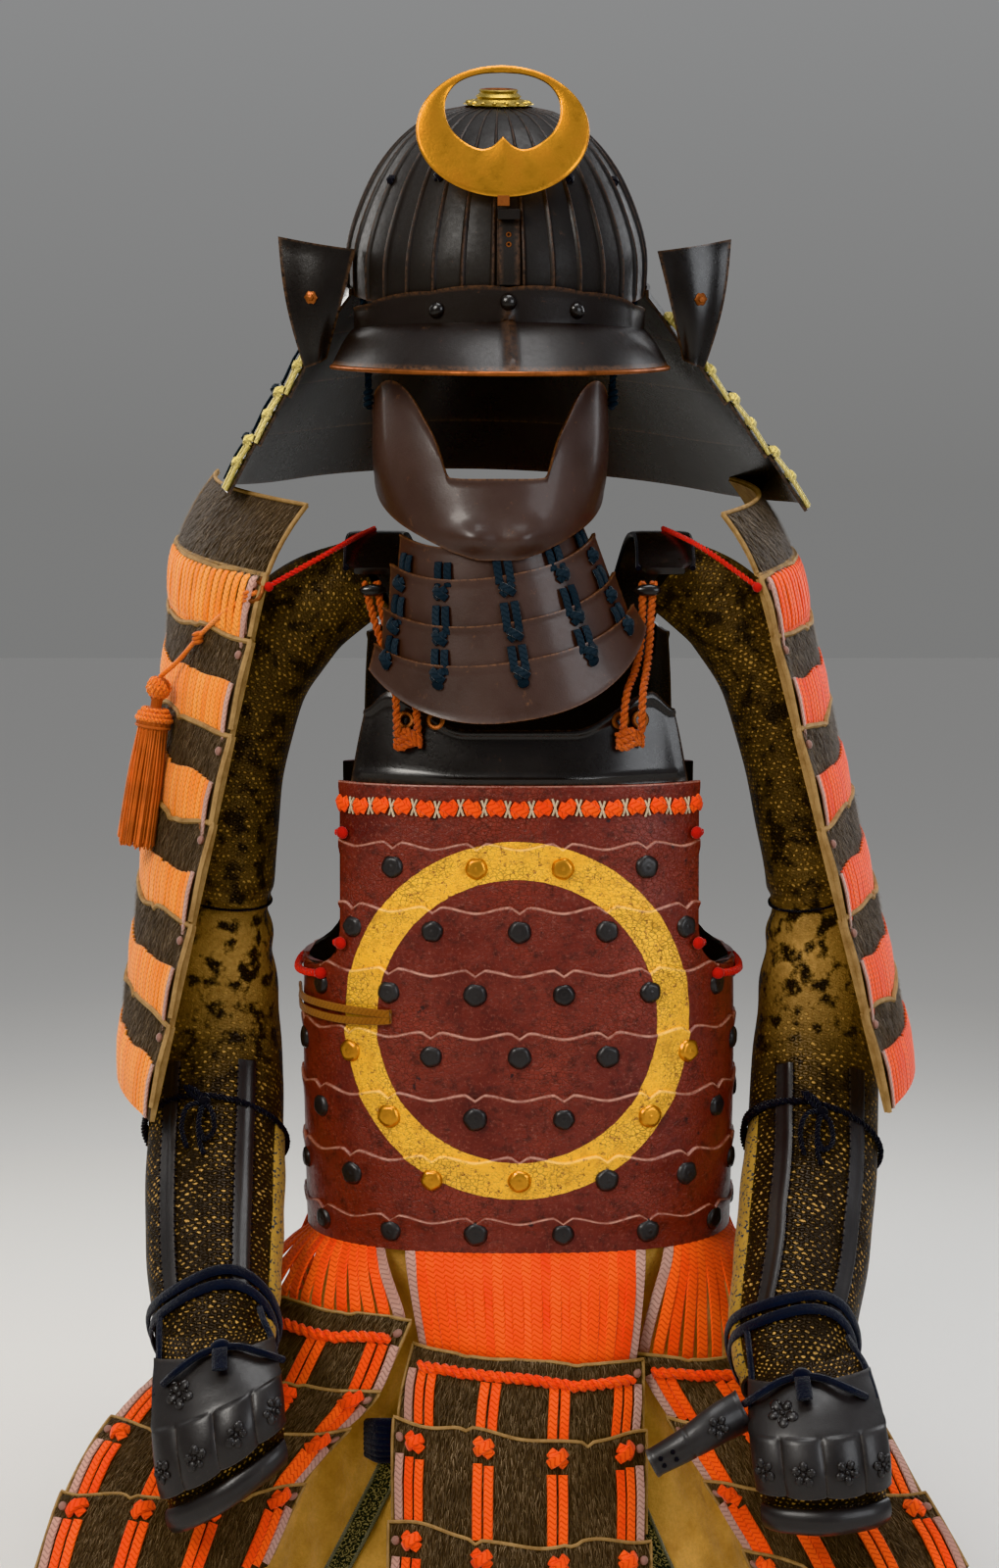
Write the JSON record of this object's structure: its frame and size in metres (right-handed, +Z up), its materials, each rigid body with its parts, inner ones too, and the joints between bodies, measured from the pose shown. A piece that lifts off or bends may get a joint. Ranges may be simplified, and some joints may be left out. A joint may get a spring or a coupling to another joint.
{
  "type": "samurai armour",
  "caption": "Japanese armour in its worn shape: ribbed helmet with ring crest, half mask, leather-faced cuirass, furred shoulder guards and skirt lames, mail sleeves.",
  "frame": {"origin": "midway between the undersides of the two shoulder straps, where the wearer's shoulders hold the armour up", "axes": "+Z up, the front faces -Y, +X is the wearer's left, right in a front view"},
  "size_m": [0.7452, 0.5347, 1.2759],
  "materials": {
    "black_lacquer": "gloss black lacquer on iron, worn to brown on the edges",
    "brass": "gilt copper, rubbed",
    "russet_lacquer": "brown-black lacquer, satin",
    "navy_cord": "braided silk cord",
    "leather_facing": "red-brown leather, crackled and polished",
    "rust_cord": "twisted silk cord",
    "orange_lacing": "braided silk lacing",
    "fur": "dark brown fur over lacquered lames",
    "mail_on_cloth": "black iron mail sewn on cloth",
    "hand_lacquer": "black lacquer, satin",
    "tan_cloth": "plain woven cotton, matt",
    "red_cord": "twisted silk cord"
  },
  "bodies": {
    "root": {"helmet_bowl": "black_lacquer", "visor": "black_lacquer", "crest_holder": "black_lacquer", "neck_lame_1": "black_lacquer", "neck_lame_2": "black_lacquer", "neck_lame_3": "black_lacquer", "neck_lame_4": "black_lacquer", "turnback_left": "black_lacquer", "turnback_right": "black_lacquer", "chest_plate": "black_lacquer", "back_plate": "black_lacquer", "strap_left": "black_lacquer", "strap_right": "black_lacquer", "helmet_top_fitting": "brass", "visor_rim": "brass", "crest": "brass", "mask": "russet_lacquer", "throat_lame_1": "russet_lacquer", "throat_lame_2": "russet_lacquer", "throat_lame_3": "russet_lacquer", "throat_lame_4": "russet_lacquer", "mask_tie_left": "navy_cord", "mask_tie_right": "navy_cord", "cuirass_front": "leather_facing", "cuirass_back": "leather_facing", "shoulder_cord_left": "rust_cord", "shoulder_cord_right": "rust_cord", "lacing_front": "orange_lacing", "lacing_front_left": "orange_lacing", "lacing_front_right": "orange_lacing", "lacing_side_left": "orange_lacing", "lacing_side_right": "orange_lacing", "lacing_back_left": "orange_lacing", "lacing_back_right": "orange_lacing", "tassel_cord": "orange_lacing", "tassel": "orange_lacing", "tasset_front": "fur", "tasset_front_left": "fur", "tasset_front_right": "fur", "tasset_side_left": "fur", "tasset_side_right": "fur", "tasset_back_left": "fur", "tasset_back_right": "fur", "shoulder_guard_top_left": "fur", "shoulder_guard_top_right": "fur", "shoulder_guard_left": "fur", "shoulder_guard_right": "fur", "sleeve_left": "mail_on_cloth", "sleeve_right": "mail_on_cloth", "hand_lining_left": "mail_on_cloth", "hand_lining_right": "mail_on_cloth", "hand_plate_left": "hand_lacquer", "hand_plate_right": "hand_lacquer", "finger_roll_left": "hand_lacquer", "finger_roll_right": "hand_lacquer", "thumb_plate_right": "hand_lacquer", "thigh_panel_left": "tan_cloth", "thigh_panel_right": "tan_cloth", "guard_cord_left": "red_cord", "guard_cord_right": "red_cord"}
  },
  "joints": []
}
